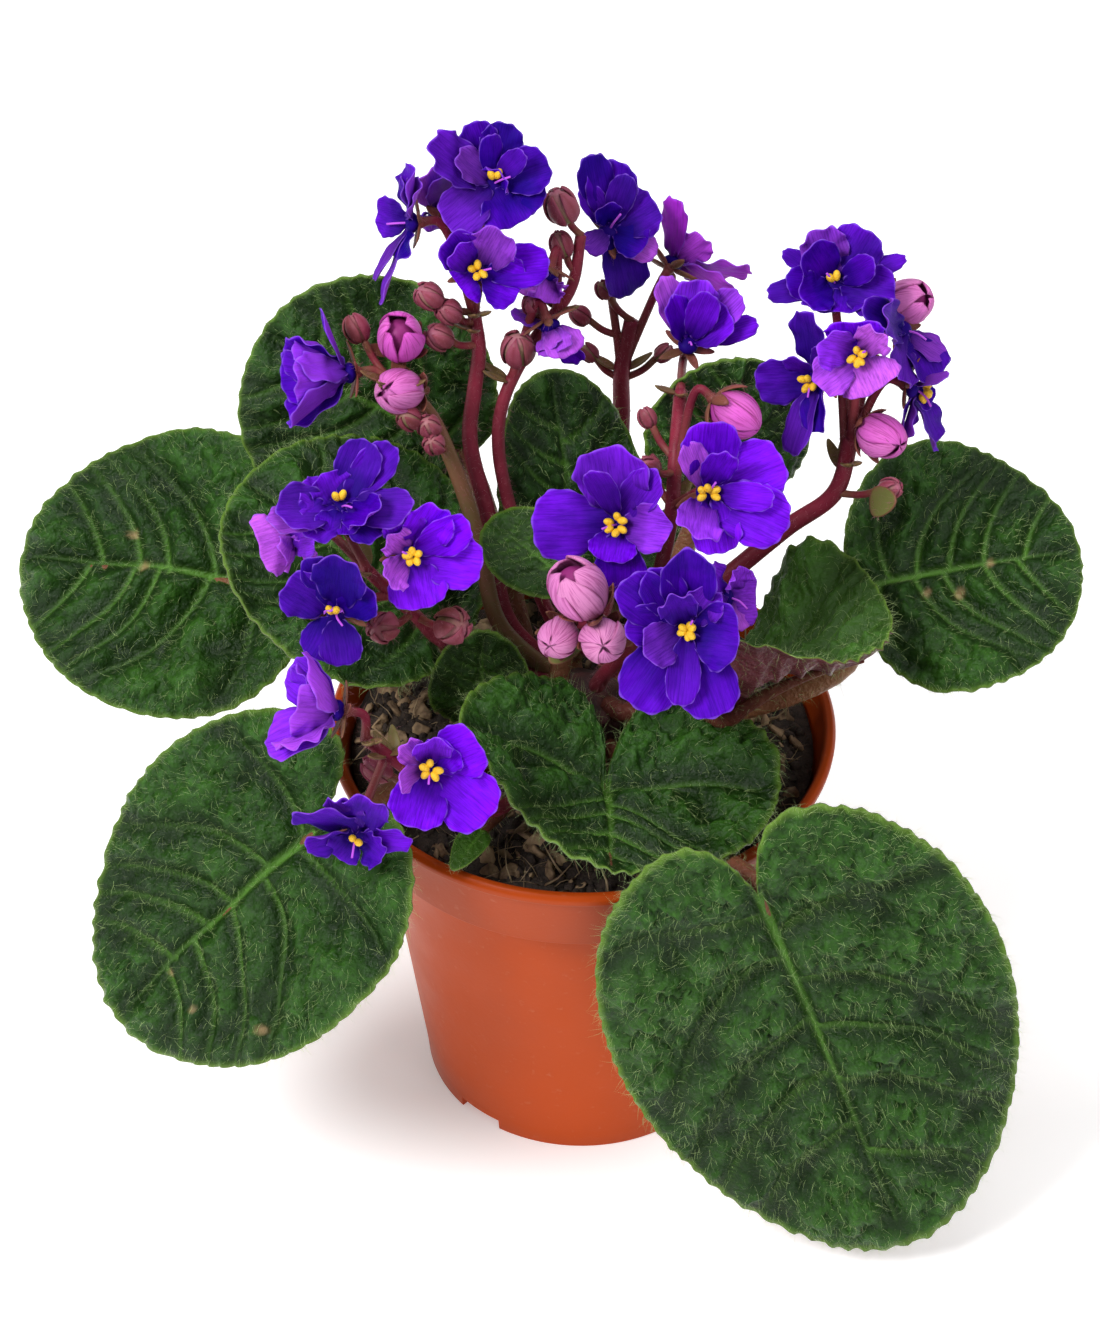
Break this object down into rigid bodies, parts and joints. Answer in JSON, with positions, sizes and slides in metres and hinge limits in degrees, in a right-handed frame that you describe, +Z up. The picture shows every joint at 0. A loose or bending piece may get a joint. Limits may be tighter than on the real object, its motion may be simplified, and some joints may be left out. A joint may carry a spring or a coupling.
{
  "type": "potted african violet",
  "caption": "Flowering african violet in a round plastic nursery pot, with hairy scalloped leaves, branching stalks and violet-blue semi-double flowers.",
  "frame": {"origin": "middle of the bounding box, at the bottom, where the pot's foot ring stands", "axes": "+Z up; +Y away from the side that the picture shows; +X to the right as the picture shows it"},
  "size_m": [0.2314, 0.1432, 0.2318],
  "materials": {
    "pot_plastic": "satin",
    "peat": "matte",
    "crown": "matte",
    "leaf": "matte",
    "stalk": "matte",
    "violet_petal": "matte",
    "lilac_petal": "matte",
    "bud": "matte"
  },
  "bodies": {
    "root": {"pot": "pot_plastic", "crown": "crown", "soil": "peat", "upper_left_stalk": "stalk", "left_stalk": "stalk", "inner_left_stalk": "stalk", "back_centre_stalk": "stalk", "right_stalk": "stalk", "middle_left_stalk": "stalk", "low_left_stalk": "stalk", "centre_stalk": "stalk", "tall_centre_stalk": "stalk", "large_front_leaf": "leaf", "lower_left_leaf": "leaf", "far_left_leaf": "leaf", "middle_left_leaf": "leaf", "back_left_leaf": "leaf", "front_centre_leaf": "leaf", "right_leaf": "leaf", "middle_right_leaf": "leaf", "back_centre_leaf": "leaf", "back_right_leaf": "leaf", "rear_leaf": "leaf", "small_centre_leaf": "leaf", "cupped_young_leaf": "leaf", "tiny_front_leaf": "leaf", "opening_centre_bud": "bud", "round_centre_bud": "bud", "striped_centre_bud": "bud", "opening_left_bud": "bud", "lower_left_bud": "bud", "upper_right_bud": "bud", "lower_right_bud": "bud", "hooked_bud": "bud", "top_left_flower": "violet_petal", "side_left_flower": "violet_petal", "rear_left_flower": "violet_petal", "upper_left_cup_flower": "violet_petal", "nodding_flower": "lilac_petal", "spent_flower": "violet_petal", "left_bell_flower": "violet_petal", "top_centre_flower": "violet_petal", "rear_centre_flower": "violet_petal", "upward_centre_flower": "violet_petal", "top_right_flower": "violet_petal", "left_right_group_flower": "violet_petal", "pink_cup_flower": "lilac_petal", "right_upper_flower": "violet_petal", "right_hanging_flower": "violet_petal", "left_spread_flower": "violet_petal", "left_open_flower": "violet_petal", "left_dark_flower": "violet_petal", "left_pink_flower": "lilac_petal", "low_side_flower": "violet_petal", "low_open_flower": "violet_petal", "low_nodding_flower": "violet_petal", "centre_left_flower": "violet_petal", "centre_right_flower": "violet_petal", "double_centre_flower": "violet_petal", "rear_petal_flower": "violet_petal"}
  },
  "joints": []
}
